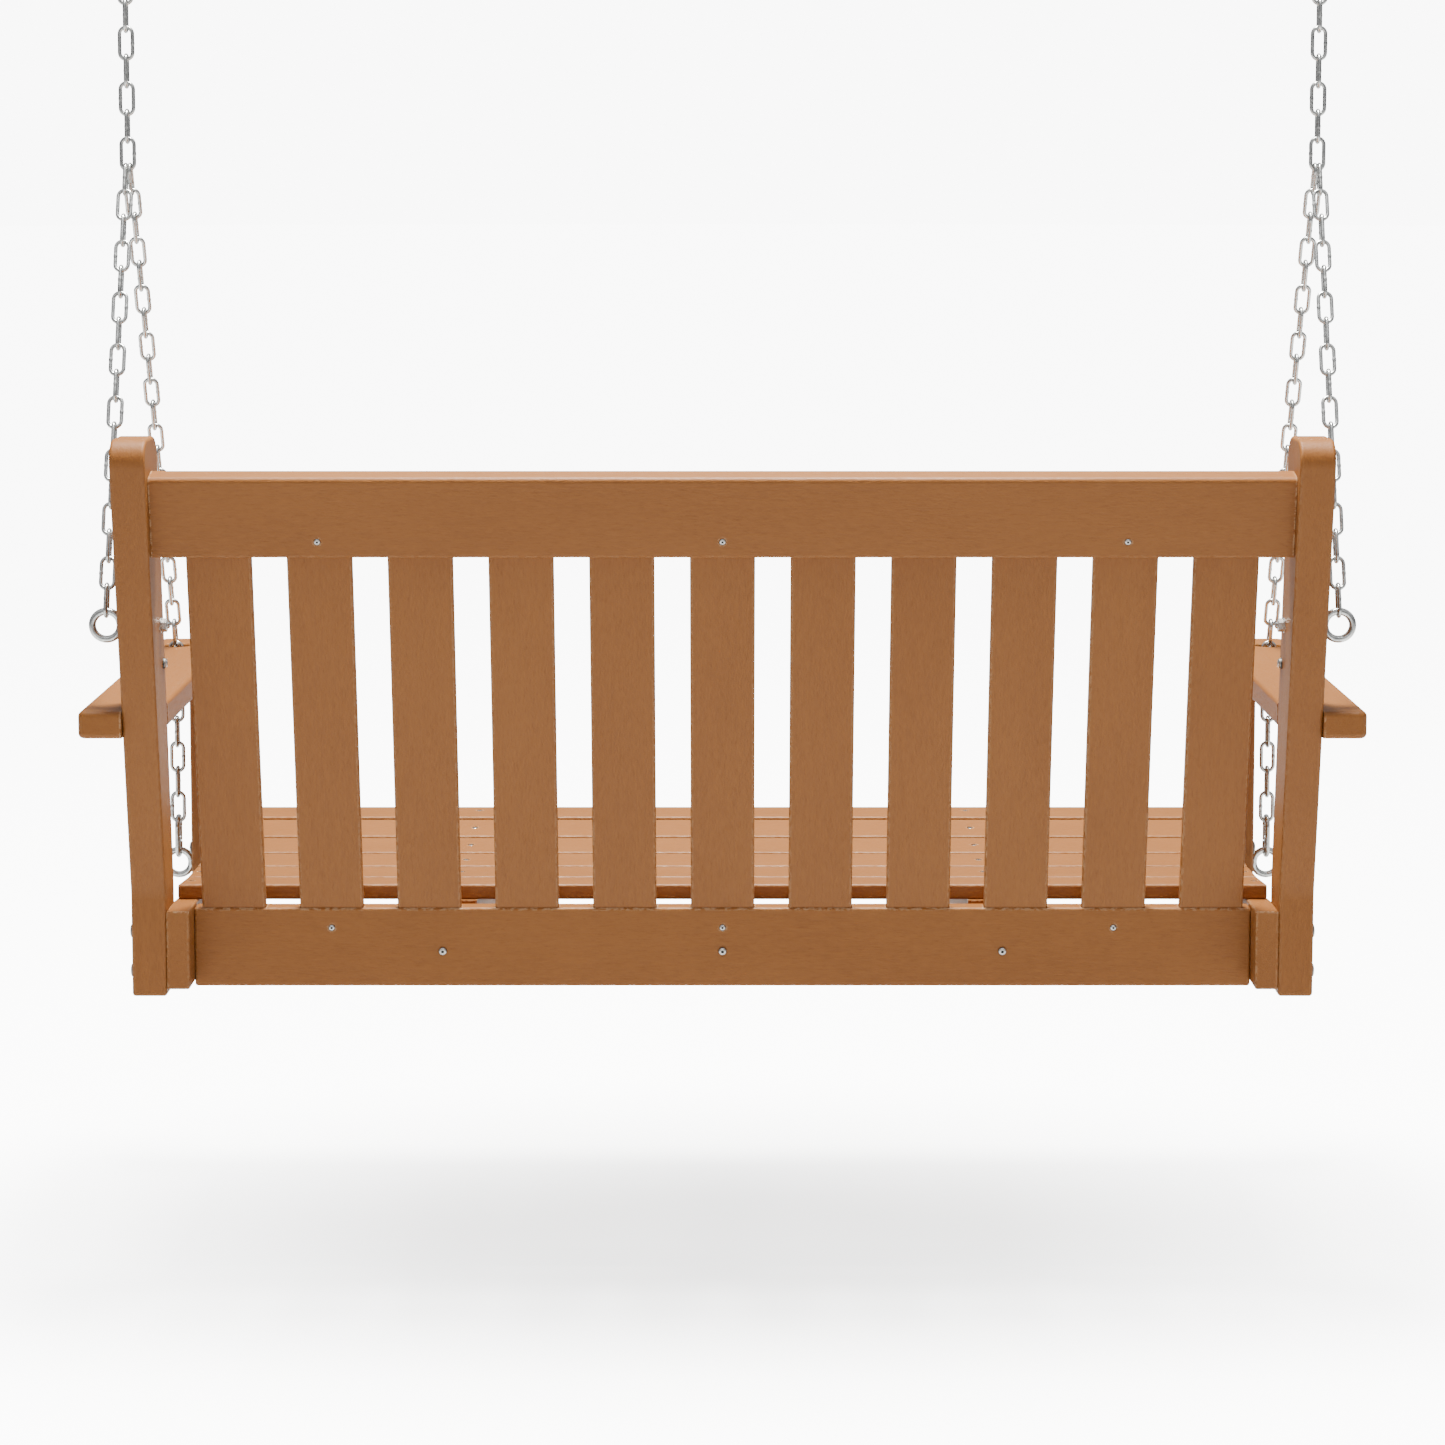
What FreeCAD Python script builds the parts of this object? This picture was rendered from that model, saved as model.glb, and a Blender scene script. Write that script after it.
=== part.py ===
import FreeCAD, Part
import math
import os

# A four-foot porch swing in poly lumber, hung on welded chain. Millimetres.
# The seat is drawn from the foot of its back legs: x across, -y forward, +z up,
# y = 0 at the rear face of the legs' upright feet and z = 0 under them. At the
# end everything is moved so that the origin lies midway between the two hang points.

Vec = FreeCAD.Vector
X_AXIS, Y_AXIS, Z_AXIS = Vec(1, 0, 0), Vec(0, 1, 0), Vec(0, 0, 1)

# Overall frame
inner_width = 1219.2        # clear width between the back legs
leg_thickness = 38.1
leg_height = 620.0
leg_knee_height = 114.0     # where the leg starts to lean back
leg_foot_depth = 64.0
leg_lean = 12.0             # degrees, rear face
leg_front_lean = 9.0        # degrees, front face
leg_crown_round = 24.0
leg_knee_round = 48.0
leg_toe_round = 4.0
leg_edge_round = 3.6
board_round = 3.0
clearance = 0.3             # between pieces that slide together when assembled

# Back
back_lean = 12.6            # degrees, slats and top rail
slat_count = 11
slat_width = 70.0
slat_pitch = 108.0
slat_thickness = 12.0
tenon_length = 28.0
top_rail_height = 89.0
top_rail_thickness = 32.0
top_rail_cover = 14.0       # rail material behind the slats
open_back_height = 413.0    # slat length seen between the rails
bottom_rail_thickness = 25.4
bottom_rail_height = 88.0
bottom_rail_inset = 36.0    # from the legs' rear face
bottom_rail_foot = 3.6      # height of its lower edge
slat_inset = 2.0            # slats behind the bottom rail's rear edge
slat_round = 2.5
top_rail_round = 6.0
top_rail_lower_round = 2.5

# Seat
seat_slat_count = 6
seat_slat_width = 70.0
seat_slat_thickness = 17.0
seat_slat_gap = 6.2
seat_slat_end_gap = 2.6     # from the legs' inner faces
seat_back_gap = 8.0         # from the legs' feet to the rear seat slat
seat_low_height = 102.2     # lowest point of the dished seat
seat_low_depth = 240.0
seat_dish_radius = 1556.0
seat_nose_height = 117.3    # level front slat
seat_overhang = 13.0        # front slat beyond the front rail
side_rail_thickness = 25.4
side_rail_round = 2.2
side_rail_foot = 8.4
side_rail_shoulder = 94.9   # height of its level rear end
support_width = 50.8
support_inset = 273.0       # from the middle to the outer supports' inner face
support_screw_offset = 309.4
support_screw_height = 42.9
top_screw_height = 18.0     # from the top rail's lower edge
bottom_screw_drop = 22.3    # from the bottom rail's upper edge

# Arms
arm_margin = 9.35           # outside the chain's hole
arm_thickness = 29.5
arm_underside = 293.3
arm_rear_reach = 48.0       # behind the legs' rear face
arm_front_reach = 557.5
arm_post_width = 70.0
arm_post_setback = 457.0    # rear face of the front post
chain_hole_diameter = 35.0
chain_hole_round = 3.0
arm_corner_round = 9.0
arm_rim_round = 5.5

# Hardware
eye_outer_diameter = 38.5
eye_wire = 7.0
eye_shank_diameter = 8.0
eye_height_rear = 412.0
eye_setback_rear = -8.0     # measured forward from the legs' rear face
eye_height_front = 53.6
washer_thickness = 1.2
washer_diameter = 17.0
bolt_radius = 4.0
dome_radius = 11.0          # of the sphere that a bolt's head is cut from
dome_height = 3.6
bolt_past_nut = 3.0
blind_wall = 5.0            # wood left past the tip of a bolt that has no nut
nut_room = 2.0              # free space around a nut that sits inside a board
nut_width = 13.0
nut_height = 6.5
cap_bolt_height = 368.0
cap_bolt_setback = 8.0

# Chain
wire = 4.4
link_side_room = 1.4         # left when two links lie side by side in a third
pitch = 31.0
link_gap = 0.15
rear_links = 17
front_links = 21
hanger_links = 6
snap_wire = 6.0
snap_width = 22.0           # between wire centres
top_snap_inside = 46.0
snap_inside_least = 33.0

# Weights of the two materials, only used to hang the seat level
plastic_density = 1.10e-6
steel_density = 7.85e-6

half = inner_width / 2
link_width = 4 * wire + link_side_room
yoke_spread = wire / 2 + link_gap   # each V chain sits this far to its side of the yoke
chain_offset = leg_thickness + washer_thickness + eye_outer_diameter / 2
arm_width = chain_offset + chain_hole_diameter / 2 + arm_margin
lean = math.radians(back_lean)
ring_radius = (eye_outer_diameter - eye_wire) / 2
crown = (link_width - wire) / 2
link_reach = pitch + wire + link_gap
parts = {}


def box(x0, x1, y0, y1, z0, z1):
    low = Vec(min(x0, x1), min(y0, y1), min(z0, z1))
    return Part.makeBox(abs(x1 - x0), abs(y1 - y0), abs(z1 - z0), low)


def rod(radius, start, end):
    start, end = Vec(*start), Vec(*end)
    return Part.makeCylinder(radius, (end - start).Length, start, end - start)


def eased(solid, radius):
    """Every edge rounded."""
    return solid.makeFillet(radius, solid.Edges)


def plate(points, x0, x1):
    """A side profile of (setback, height) points, from x0 to x1."""
    corners = [Vec(x0, -setback, height) for setback, height in points]
    face = Part.Face(Part.makePolygon(corners + corners[:1]))
    return face.extrude(Vec(x1 - x0, 0, 0))


def cross_edges(solid, test):
    """Edges that run straight along x and meet the test on (y, z)."""
    found = []
    for edge in solid.Edges:
        size = edge.BoundBox
        if size.YLength < 1e-6 and size.ZLength < 1e-6:
            middle = edge.CenterOfMass
            if test(middle.y, middle.z):
                found.append(edge)
    return found


def outline_edges(solid):
    """Edges that lie in the two side planes."""
    return [edge for edge in solid.Edges if edge.BoundBox.XLength < 1e-6]


def mirrored(shape):
    return shape.mirror(Vec(0, 0, 0), X_AXIS)


def pair(name, shape):
    """A left piece and its mirror image on the right."""
    parts[name + "_left"] = shape
    parts[name + "_right"] = mirrored(shape)


def both(shapes):
    """Pieces of the left side with their mirror images, as one group."""
    return Part.makeCompound(shapes + [mirrored(shape) for shape in shapes])


def tilted(shape):
    """From the back's own frame (x, rearward, along the slats) to its place."""
    shape = shape.copy()
    shape.rotate(Vec(0, 0, 0), X_AXIS, -back_lean)
    shape.translate(Vec(0, -(bottom_rail_inset + slat_inset), back_base))
    return shape


def screw(head_diameter, shank_diameter, length, sunk=0.0):
    """A pan-head screw along -z with its head's seat at z = -sunk, and the hole it fills."""
    head_height = head_diameter * 0.36
    head = rod(head_diameter / 2, (0, 0, -sunk), (0, 0, head_height - sunk))
    rim = [edge for edge in head.Edges if edge.BoundBox.ZLength < 1e-6
           and edge.CenterOfMass.z > head_height / 2 - sunk]
    head = head.makeFillet(head_height * 0.6, rim)
    socket_half = head_diameter * 0.17
    socket = box(-socket_half, socket_half, -socket_half, socket_half,
                 head_height * 0.35 - sunk, head_height)
    shank = rod(shank_diameter / 2, (0, 0, -sunk), (0, 0, -length))
    hole = shank.copy()
    if sunk:
        hole = hole.fuse(rod(head_diameter / 2 + clearance, (0, 0, -sunk), (0, 0, 1)))
    return head.cut(socket).fuse(shank), hole


def aimed(shape, place, direction):
    """A shape drawn along z, turned so that +z points along the direction."""
    shape = shape.copy()
    shape.Placement = FreeCAD.Placement(
        Vec(*place), FreeCAD.Rotation(Z_AXIS, Vec(*direction)))
    return shape


# ---------------------------------------------------------------- the frame
back_base = bottom_rail_foot + bottom_rail_height


def back_leg():
    height = leg_height - leg_knee_height
    rise = math.tan(math.radians(leg_lean)) * height
    front_rise = math.tan(math.radians(leg_front_lean)) * height
    leg = plate([(0, 0), (0, leg_knee_height), (-rise, leg_height),
                 (leg_foot_depth - front_rise, leg_height),
                 (leg_foot_depth, leg_knee_height), (leg_foot_depth, 0)],
                half, half + leg_thickness)
    leg = leg.makeFillet(leg_crown_round, cross_edges(leg, lambda y, z: z > leg_height - 1))
    leg = leg.makeFillet(leg_knee_round,
                         cross_edges(leg, lambda y, z: abs(z - leg_knee_height) < 1))
    leg = leg.makeFillet(leg_toe_round, cross_edges(leg, lambda y, z: z < 1))
    return leg.makeFillet(leg_edge_round, outline_edges(leg))


def seat_lines():
    """For each seat slat from the rear: its centre's setback, top height and slope."""
    lines = []
    step = seat_slat_width + seat_slat_gap
    for index in range(seat_slat_count):
        setback = leg_foot_depth + seat_back_gap + seat_slat_width / 2 + index * step
        slope = (setback - seat_low_depth) / seat_dish_radius
        height = seat_low_height + (setback - seat_low_depth) ** 2 / (2 * seat_dish_radius)
        if index == seat_slat_count - 1:
            slope, height = 0.0, seat_nose_height
        lines.append((setback, height, slope))
    return lines


def underside(line):
    """A point on a slat's underside and the slope there."""
    setback, height, slope = line
    return (setback + seat_slat_thickness * slope, height - seat_slat_thickness, slope)


def seat_bearing():
    """Corners of the line on which the slats bear, from the rear."""
    lines = [underside(line) for line in seat_lines()]
    first_setback, first_height, first_slope = lines[0]
    corners = [(first_setback + (side_rail_shoulder - first_height) / first_slope,
                side_rail_shoulder)]
    for (d0, z0, k0), (d1, z1, k1) in zip(lines, lines[1:]):
        setback = (z1 - z0 + k0 * d0 - k1 * d1) / (k0 - k1)
        corners.append((setback, z0 + k0 * (setback - d0)))
    return corners


def seat_slats():
    slats = []
    for setback, height, slope in seat_lines():
        reach = half - seat_slat_end_gap
        slat = eased(box(-reach, reach, -seat_slat_width / 2, seat_slat_width / 2,
                         -seat_slat_thickness, 0), board_round)
        slat.rotate(Vec(0, 0, 0), X_AXIS, -math.degrees(math.atan(slope)))
        slat.translate(Vec(0, -setback, height))
        slats.append(slat)
    return slats


last_setback = seat_lines()[-1][0]
frame_front = last_setback + seat_slat_width / 2 - seat_overhang
front_rail_rear = frame_front - side_rail_thickness
nose_bearing = seat_nose_height - seat_slat_thickness
bottom_rail_front = bottom_rail_inset + bottom_rail_thickness


def support(x0, x1, rear, front):
    """A board on edge whose top follows the slats' undersides."""
    corners = seat_bearing()
    (level_end, level), (next_end, next_height) = corners[:2]
    fall_there = max(rear - level_end, 0) * (next_height - level) / (next_end - level_end)
    top = [(setback, height) for setback, height in corners if rear < setback < front]
    return plate([(rear, side_rail_foot), (rear, level + fall_there)] + top +
                 [(front, nose_bearing), (front, side_rail_foot)], x0, x1)


def bottom_rail():
    reach = half - side_rail_thickness - clearance
    return eased(box(-reach, reach, -bottom_rail_inset, -bottom_rail_front,
                     bottom_rail_foot, back_base), board_round)


def top_rail():
    reach = half - clearance
    rail = box(-reach, reach, top_rail_cover, top_rail_cover - top_rail_thickness,
               open_back_height, open_back_height + top_rail_height)
    upper = cross_edges(rail, lambda y, z: z > open_back_height + 1)
    rail = rail.makeFillet(top_rail_round, upper)
    return rail.makeFillet(top_rail_lower_round,
                           cross_edges(rail, lambda y, z: z < open_back_height + 1))


def slat_bar(middle, grow):
    """A back slat from tenon to tenon, or the room for it, in the back's frame."""
    wide = slat_width / 2 + grow
    return box(middle - wide, middle + wide, grow, -slat_thickness - grow,
               -tenon_length - grow, open_back_height + tenon_length + grow)


def arm():
    inner, outer = half, half + arm_width
    top = arm_underside + arm_thickness
    slab = box(inner, outer, arm_rear_reach, -arm_front_reach, arm_underside, top)
    corners = [edge for edge in slab.Edges if edge.BoundBox.ZLength > arm_thickness - 1]
    slab = slab.makeFillet(arm_corner_round, corners)
    rims = [edge for edge in slab.Edges if edge.BoundBox.ZLength < 1e-6]
    slab = slab.makeFillet(arm_rim_round, rims)
    lean_there = math.tan(math.radians(leg_front_lean)) * (arm_underside - leg_knee_height)
    notch_front = leg_foot_depth - lean_there + clearance
    slab = slab.cut(box(inner - 1, half + leg_thickness + clearance, arm_rear_reach + 1,
                        -notch_front, arm_underside - 1, top + 1))
    slab = slab.cut(rod(chain_hole_diameter / 2, (chain_x, -front_eye_setback, arm_underside - 1),
                        (chain_x, -front_eye_setback, top + 1)))
    mouth = [edge for edge in slab.Edges if edge.BoundBox.ZLength < 1e-6
             and abs(edge.CenterOfMass.x - chain_x) < 0.5
             and abs(edge.CenterOfMass.y + front_eye_setback) < 0.5]
    return slab.makeFillet(chain_hole_round, mouth)


chain_x = half + chain_offset
front_eye_setback = arm_post_setback + arm_post_width / 2 + 1.5

leg = back_leg()
post = eased(box(half, half + leg_thickness, -arm_post_setback,
                 -arm_post_setback - arm_post_width, side_rail_foot, arm_underside), board_round)
side_rail = support(half - side_rail_thickness, half, 0, frame_front)
side_rail = side_rail.makeFillet(side_rail_round, outline_edges(side_rail))
outer_support = support(support_inset, support_inset + support_width,
                        bottom_rail_front, front_rail_rear)
middle_support = support(-support_width / 2, support_width / 2,
                         bottom_rail_front, front_rail_rear)
rail_reach = half - side_rail_thickness - clearance
front_rail = eased(box(-rail_reach, rail_reach, -front_rail_rear, -frame_front,
                       side_rail_foot, nose_bearing), board_round)
rear_rail = bottom_rail()
crest_rail = top_rail()
armrest = arm()
seat = seat_slats()

# Back slats: tenons in both rails
slats = []
crest_rail = tilted(crest_rail)
sockets = []
for index in range(slat_count):
    middle = (index - (slat_count - 1) / 2) * slat_pitch
    slats.append(tilted(eased(slat_bar(middle, 0), slat_round)))
    sockets.append(tilted(slat_bar(middle, clearance)))
crest_rail = crest_rail.cut(Part.makeCompound(sockets))
rear_rail = rear_rail.cut(Part.makeCompound(sockets))

# ---------------------------------------------------------------- screws and bolts
lean_out = (0, math.cos(lean), -math.sin(lean))


def back_point(x, rearward, along):
    """A place given in the back's own frame."""
    return (x, -(bottom_rail_inset + slat_inset) + rearward * math.cos(lean) +
            along * math.sin(lean),
            back_base - rearward * math.sin(lean) + along * math.cos(lean))


def fasten(kind, places, direction, targets):
    """Screws of one kind at their places; the targets are drilled to suit."""
    piece, hole = screw(**kind)
    drills = Part.makeCompound([aimed(hole, place, direction) for place in places])
    return ([aimed(piece, place, direction) for place in places],
            [target.cut(drills) for target in targets])


locked = [1, 5, 9]
slat_screw = dict(head_diameter=7.0, shank_diameter=4.0, length=24.0, sunk=1.2)
places = [back_point((index - 5) * slat_pitch, top_rail_cover, open_back_height + top_screw_height)
          for index in locked]
top_screws, drilled = fasten(slat_screw, places, lean_out,
                             [crest_rail] + [slats[index] for index in locked])
crest_rail = drilled[0]
for index, slat in zip(locked, drilled[1:]):
    slats[index] = slat

low_screw = dict(head_diameter=7.0, shank_diameter=4.0, length=18.0, sunk=1.2)
places = [((index - 5) * slat_pitch, -bottom_rail_inset,
           back_base - bottom_screw_drop)
          for index in locked]
bottom_screws, drilled = fasten(low_screw, places, (0, 1, 0),
                                [rear_rail] + [slats[index] for index in locked])
rear_rail = drilled[0]
for index, slat in zip(locked, drilled[1:]):
    slats[index] = slat

frame_screw = dict(head_diameter=9.0, shank_diameter=5.0, length=70.0)
across = [-support_screw_offset, 0, support_screw_offset]
rear_frame_screws, drilled = fasten(
    frame_screw, [(x, -bottom_rail_inset, support_screw_height) for x in across], (0, 1, 0),
    [rear_rail, mirrored(outer_support), middle_support, outer_support])
rear_rail, right_support, middle_support, left_support = drilled
front_frame_screws, drilled = fasten(
    frame_screw, [(x, -frame_front, support_screw_height) for x in across], (0, -1, 0),
    [front_rail, right_support, middle_support, left_support])
front_rail, right_support, middle_support, left_support = drilled

# Seat slats: a screw into every board they cross
seat_screws = []
seat_screw = dict(head_diameter=7.0, shank_diameter=4.0, length=45.0, sunk=2.6)
side_line = half - side_rail_thickness / 2
middle_line = support_inset + support_width / 2
right_rail, left_rail = mirrored(side_rail), side_rail
for index, (setback, height, slope) in enumerate(seat_lines()):
    up = (0, math.sin(slope), math.cos(slope))
    rows = [-side_line, -middle_line, 0, middle_line, side_line]
    under = [right_rail, right_support, middle_support, left_support, left_rail]
    if index == seat_slat_count - 1:
        under = [right_rail, front_rail, front_rail, front_rail, left_rail]
        setback = (front_rail_rear + frame_front) / 2
    spots = [(x, -setback, height) for x in rows]
    made, drilled = fasten(seat_screw, spots, up, [seat[index]])
    seat_screws += made
    seat[index] = drilled[0]
    piece, hole = screw(**seat_screw)
    drills = Part.makeCompound([aimed(hole, spot, up) for spot in spots])
    right_rail, left_rail = right_rail.cut(drills), left_rail.cut(drills)
    if index == seat_slat_count - 1:
        front_rail = front_rail.cut(drills)
    else:
        right_support = right_support.cut(drills)
        middle_support = middle_support.cut(drills)
        left_support = left_support.cut(drills)
side_rail = left_rail

# Arms: two screws down into each front post, two from the outer edge into the leg
arm_top = arm_underside + arm_thickness
post_middle = half + leg_thickness / 2
arm_screw = dict(head_diameter=9.0, shank_diameter=5.0, length=75.0, sunk=3.4)
spots = [(post_middle, -arm_post_setback - share * arm_post_width, arm_top)
         for share in (0.25, 0.75)]
down_screws, (armrest, post) = fasten(arm_screw, spots, (0, 0, 1), [armrest, post])
edge_screw = dict(head_diameter=9.0, shank_diameter=5.0, length=72.0, sunk=3.4)
spots = [(half + arm_width, setback, arm_underside + arm_thickness / 2)
         for setback in (-12.0, 16.0)]
edge_screws, (armrest, leg) = fasten(edge_screw, spots, (1, 0, 0), [armrest, leg])

# Top rail: two screws through each leg into the rail's end
outside = half + leg_thickness
rail_middle = top_rail_cover - top_rail_thickness / 2
spots = [back_point(outside, rail_middle, open_back_height + share * top_rail_height)
         for share in (0.28, 0.72)]
rail_screws, (leg, crest_rail) = fasten(edge_screw, spots, (1, 0, 0), [leg, crest_rail])
mirror_spots = [(-x, y, z) for x, y, z in spots]
crest_rail = fasten(edge_screw, mirror_spots, (-1, 0, 0), [crest_rail])[1][0]

# Leg and post bolts: domed heads outside; the leg's two end blind in the side rail
bolt_tail = nut_height + washer_thickness + bolt_past_nut


def dome_bolt(length):
    """A domed bolt along -x from its seat."""
    centre = dome_height - dome_radius
    dome = Part.makeSphere(dome_radius, Vec(centre, 0, 0))
    dome = dome.common(box(0, dome_radius, -dome_radius, dome_radius, -dome_radius, dome_radius))
    return dome.fuse(rod(bolt_radius, (0, 0, 0), (-length, 0, 0)))


def nut(depth):
    """A hexagon nut along -x behind a washer, and the washer."""
    corner = nut_width / math.sqrt(3)
    ring = [Vec(0, corner * math.cos(math.radians(60 * turn)),
                corner * math.sin(math.radians(60 * turn))) for turn in range(7)]
    hexagon = Part.Face(Part.makePolygon(ring)).extrude(Vec(-nut_height, 0, 0))
    cone = Part.makeCone(nut_width / 2 + 0.2, nut_width / 2 + 0.2 + nut_height * 2.2,
                         nut_height * 1.1, Vec(-nut_height, 0, 0), X_AXIS)
    hexagon = hexagon.common(cone)
    hexagon = hexagon.cut(rod(bolt_radius, (1, 0, 0), (-nut_height - 1, 0, 0)))
    hexagon.translate(Vec(depth - washer_thickness, 0, 0))
    washer = rod(washer_diameter / 2, (depth, 0, 0), (depth - washer_thickness, 0, 0))
    washer = washer.cut(rod(bolt_radius, (depth + 1, 0, 0), (depth - 3, 0, 0)))
    return hexagon, washer


def at(shape, *place):
    shape = shape.copy()
    shape.translate(Vec(*place))
    return shape


rail_inside = half - side_rail_thickness
frame_grip = leg_thickness + side_rail_thickness
rail_nut, rail_washer = nut(0)
post_bolt_spot = (-arm_post_setback - 14.0, 76.0)
bolts = [at(dome_bolt(frame_grip + bolt_tail), outside, *post_bolt_spot)]
nuts = [at(rail_nut, rail_inside, *post_bolt_spot)]
washers = [at(rail_washer, rail_inside, *post_bolt_spot)]
drills = [rod(bolt_radius, (outside + 1, *post_bolt_spot), (rail_inside - 1, *post_bolt_spot))]
blind_length = frame_grip - blind_wall
for spot in ((-18.0, 26.0), (-18.0, 70.0)):
    bolts.append(at(dome_bolt(blind_length), outside, *spot))
    drills.append(rod(bolt_radius, (outside + 1, *spot), (outside - blind_length, *spot)))
drills = Part.makeCompound(drills)
leg, post, side_rail = leg.cut(drills), post.cut(drills), side_rail.cut(drills)

# A domed bolt on each leg's inner face, above the arm
cap_place = (half, -cap_bolt_setback, cap_bolt_height)
cap_dome = Part.makeSphere(6.0, Vec(1.5, 0, 0)).common(box(-6, 0, -7, 7, -7, 7))
cap_bolt = at(cap_dome.fuse(rod(3.0, (0, 0, 0), (leg_thickness - 6, 0, 0))), *cap_place)
leg = leg.cut(at(rod(3.0, (-1, 0, 0), (leg_thickness - 6, 0, 0)), *cap_place))


def eye_bolt(y, z, grip):
    """An eye in the x-z plane with its shank running inwards through the frame."""
    ring = Part.makeTorus(ring_radius, eye_wire / 2, Vec(chain_x, y, z), Y_AXIS)
    tip = outside - grip - bolt_tail
    shank = rod(bolt_radius, (chain_x - ring_radius, y, z), (tip, y, z))
    tip_rim = [edge for edge in shank.Edges
               if edge.BoundBox.XLength < 1e-6 and edge.CenterOfMass.x < tip + 1]
    shank = shank.makeChamfer(0.8, tip_rim)
    collar = rod(washer_diameter / 2, (outside + washer_thickness, y, z), (outside, y, z))
    collar = collar.cut(rod(bolt_radius, (outside + 3, y, z), (outside - 1, y, z)))
    hole = rod(bolt_radius, (outside + 1, y, z), (outside - grip - 1, y, z))
    return ring.fuse(shank), collar, hole


rear_eye_y, front_eye_y = -eye_setback_rear, -front_eye_setback
rear_eye, collar, hole = eye_bolt(rear_eye_y, eye_height_rear, leg_thickness)
leg = leg.cut(hole)
washers += [collar, at(rail_washer, half, rear_eye_y, eye_height_rear)]
nuts.append(at(rail_nut, half, rear_eye_y, eye_height_rear))
front_eye, collar, hole = eye_bolt(front_eye_y, eye_height_front, frame_grip)
post, side_rail = post.cut(hole), side_rail.cut(hole)
washers += [collar, at(rail_washer, rail_inside, front_eye_y, eye_height_front)]
nuts.append(at(rail_nut, rail_inside, front_eye_y, eye_height_front))
pocket = rod(washer_diameter / 2 + nut_room, (rail_inside, front_eye_y, eye_height_front),
             (rail_inside - bolt_tail - nut_room, front_eye_y, eye_height_front))
front_rail = front_rail.cut(pocket).cut(mirrored(pocket))


# ---------------------------------------------------------------- chains and snaps
def bent_rod(radius, path):
    """A round bar along a wire."""
    edge = path.Edges[0]
    start = edge.valueAt(edge.FirstParameter)
    along = edge.tangentAt(edge.FirstParameter)
    if (path.Vertexes[0].Point - start).Length > 1e-6 and not path.isClosed():
        start, along = edge.valueAt(edge.LastParameter), -edge.tangentAt(edge.LastParameter)
    ring = Part.Wire(Part.makeCircle(radius, start, along))
    return path.makePipeShell([ring], True, False)


def loop(width, length):
    """A closed oval of wire centre lines in the x-z plane, middle at the origin."""
    side, rise = width / 2, length / 2 - width / 2
    left_low, left_top = Vec(-side, 0, -rise), Vec(-side, 0, rise)
    right_low, right_top = Vec(side, 0, -rise), Vec(side, 0, rise)
    return Part.Wire([
        Part.makeLine(right_low, right_top),
        Part.Arc(right_top, Vec(0, 0, rise + side), left_top).toShape(),
        Part.makeLine(left_top, left_low),
        Part.Arc(left_low, Vec(0, 0, -rise - side), right_low).toShape()])


link = bent_rod(wire / 2, loop(2 * crown, link_reach))


def placed_link(middle, down, edge_on):
    """A link with its length along `down`, its width along x or, edge-on, across x."""
    up = -down
    width = (X_AXIS - up * X_AXIS.dot(up)).normalize()
    if edge_on:
        width = up.cross(width)
    turn = FreeCAD.Rotation(width, up.cross(width), up, "ZXY")
    piece = link.copy()
    piece.Placement = FreeCAD.Placement(middle, turn)
    return piece


def chain(start, down, count, first_edge_on):
    """Links in a straight line from a contact point; every second one is turned."""
    return [placed_link(start + down * (pitch * (index + 0.5)), down,
                        first_edge_on == (index % 2 == 0)) for index in range(count)]


def snap(inside):
    """A wire snap hook in the x-z plane: body, hinged gate on its +x side, and pin."""
    side = snap_width / 2
    rise = (inside + snap_wire) / 2 - side
    nose, heel = rise - 1.6, -rise + 4.0
    pin_height = heel + 3.2
    left_low, left_top = Vec(-side, 0, -rise), Vec(-side, 0, rise)
    right_low, right_top = Vec(side, 0, -rise), Vec(side, 0, rise)
    path = Part.Wire([
        Part.makeLine(Vec(side, 0, nose), right_top),
        Part.Arc(right_top, Vec(0, 0, rise + side), left_top).toShape(),
        Part.makeLine(left_top, left_low),
        Part.Arc(left_low, Vec(0, 0, -rise - side), right_low).toShape(),
        Part.makeLine(right_low, Vec(side, 0, heel))])
    ring = Part.Wire(Part.makeCircle(snap_wire / 2, Vec(side, 0, nose), Z_AXIS))
    body = path.makePipeShell([ring], True, False)
    pin_radius, tongue, ear = 1.0, 1.8, snap_wire / 2 - 0.3
    tab = rod(2.4, (side, -tongue / 2, pin_height), (side, tongue / 2, pin_height))
    tab = tab.fuse(box(side - 2.4, side + 2.4, -tongue / 2, tongue / 2, heel - 1, pin_height))
    pin = rod(pin_radius, (side, -ear, pin_height), (side, ear, pin_height))
    body = body.fuse(tab).cut(rod(pin_radius, (side, -4, pin_height), (side, 4, pin_height)))
    gate = rod(ear, (side, 0, pin_height), (side, 0, nose - 0.4))
    gate = gate.fuse(Part.makeSphere(ear, Vec(side, 0, pin_height)))
    slot = tongue / 2 + clearance
    gate = gate.cut(box(side - 4, side + 4, -slot, slot, pin_height - 4, pin_height + 3.2))
    gate = gate.cut(rod(pin_radius + 0.05, (side, -4, pin_height), (side, 4, pin_height)))
    return body, gate, pin, pin_height


hang_splay = 3.0            # the hang points stand this far outboard of the eyes
hang_x = chain_x + hang_splay
room = crown - wire - link_gap
yoke_seat = crown - math.sqrt(room ** 2 - yoke_spread ** 2)
yoke_slack = yoke_seat - (wire + link_gap) / 2
rear_crown = Vec(chain_x, rear_eye_y, eye_height_rear + ring_radius)
front_crown = Vec(chain_x, front_eye_y, eye_height_front + ring_radius)
snap_fixed = eye_wire / 2 + 1.5 * link_gap


def fall(length, across, along):
    """The height of a straight chain of this length over its run."""
    return math.sqrt(length ** 2 - across ** 2 - along ** 2)


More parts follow.
